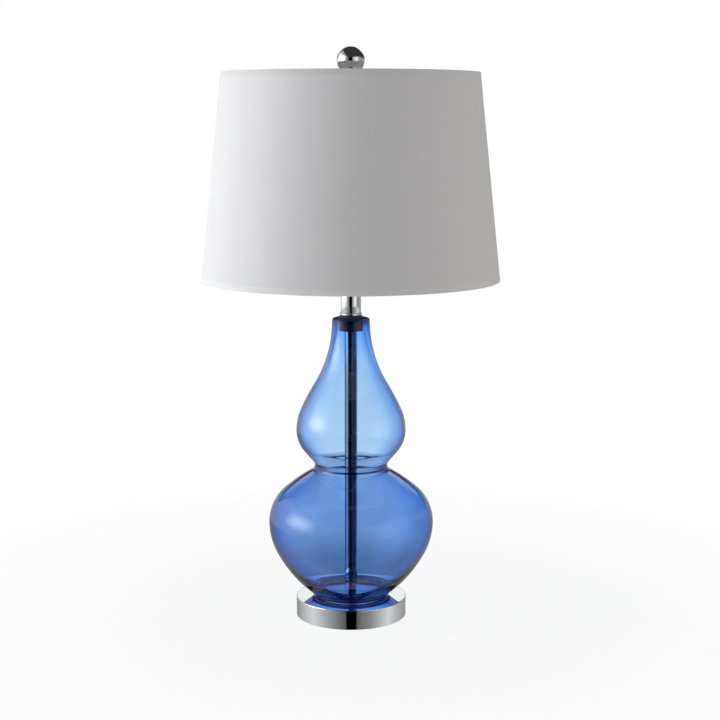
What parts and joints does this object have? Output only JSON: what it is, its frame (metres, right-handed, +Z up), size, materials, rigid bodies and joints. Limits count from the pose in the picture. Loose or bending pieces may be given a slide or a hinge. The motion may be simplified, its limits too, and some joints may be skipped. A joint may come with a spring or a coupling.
{
  "type": "double gourd table lamp",
  "caption": "Table lamp with a blue glass double gourd body, chrome foot and neck, white fabric cone shade on a harp, and ball finial.",
  "frame": {"origin": "centre of the face that the foot stands on", "axes": "+Z up along the lamp's axis, front towards -Y, cord outlet at +Y"},
  "size_m": [0.336, 0.3358, 0.65],
  "materials": {
    "chrome": "polished chrome plate",
    "blue_glass": "blown glass, blue through the wall, glossy",
    "shade_fabric": "white plain woven fabric, matt",
    "shade_backing": "white hard-back sheet, satin",
    "ring_wire": "white painted steel wire",
    "nickel_wire": "nickel plated steel",
    "nickel_shell": "nickel plated sheet",
    "zinc_steel": "zinc plated steel",
    "cast_iron": "raw casting",
    "brass": "plain brass",
    "contact_aluminium": "bare sheet",
    "holder_plastic": "moulded insulator",
    "black_plastic": "moulded, black",
    "white_plastic": "moulded, white",
    "frosted_plastic": "frosted, white",
    "insulating_card": "pressed fibre",
    "black_rubber": "moulded, black",
    "clear_rubber": "clear soft ring",
    "felt": "black felt"
  },
  "bodies": {
    "lamp_body": {"felt_pad": "felt", "base_shell": "chrome", "base_weight": "cast_iron", "cord_bushing": "black_plastic", "base_nut": "zinc_steel", "base_lock_washer": "zinc_steel", "base_washer": "zinc_steel", "foot_gasket": "clear_rubber", "gourd_glass": "blue_glass", "mouth_plug": "black_rubber", "centre_tube": "chrome", "threaded_pipe": "zinc_steel", "neck_ring": "chrome", "neck_tube": "chrome", "neck_washer": "chrome", "harp_saddle": "nickel_wire", "harp_wire": "nickel_wire", "harp_disc": "nickel_wire", "socket_cap": "nickel_shell", "socket_set_screw": "zinc_steel", "socket_shell": "nickel_shell", "socket_liner": "insulating_card", "socket_body": "holder_plastic", "terminal_screws": "brass", "screw_shell": "contact_aluminium", "centre_contact": "brass"},
    "switch": {"switch_shaft": "brass", "switch_knob": "black_plastic"},
    "bulb": {"bulb_contact": "brass", "bulb_insulator": "black_plastic", "bulb_screw_cap": "contact_aluminium", "bulb_housing": "white_plastic", "bulb_globe": "frosted_plastic"},
    "shade": {"shade_cover": "shade_fabric", "shade_liner": "shade_backing", "top_ring": "ring_wire", "bottom_ring": "ring_wire", "spider_arms": "ring_wire", "spider_washer": "ring_wire"},
    "finial": {"finial_base": "chrome", "finial_ball": "chrome"},
    "sleeve_left": {"sleeve_left": "nickel_wire"},
    "sleeve_right": {"sleeve_right": "nickel_wire"}
  },
  "joints": [
    {"name": "switch_turn", "type": "hinge", "parent": "lamp_body", "child": "switch", "pos_m": [0, -0.02, 0.4097], "axis": [0, -1, 0], "continuous": true},
    {"name": "bulb_turn", "type": "hinge", "parent": "lamp_body", "child": "bulb", "pos_m": [0, 0, 0.44], "axis": [0, 0, 1], "continuous": true},
    {"name": "shade_swivel", "type": "hinge", "parent": "lamp_body", "child": "shade", "pos_m": [0, 0, 0.6089], "axis": [0, 0, 1], "continuous": true},
    {"name": "finial_turn", "type": "hinge", "parent": "lamp_body", "child": "finial", "pos_m": [0, 0, 0.615], "axis": [0, 0, 1], "continuous": true},
    {"name": "sleeve_left_lift", "type": "slide", "parent": "lamp_body", "child": "sleeve_left", "axis": [0, 0, 1], "range_m": [0, 0.012]},
    {"name": "sleeve_right_lift", "type": "slide", "parent": "lamp_body", "child": "sleeve_right", "axis": [0, 0, 1], "range_m": [0, 0.012]}
  ]
}
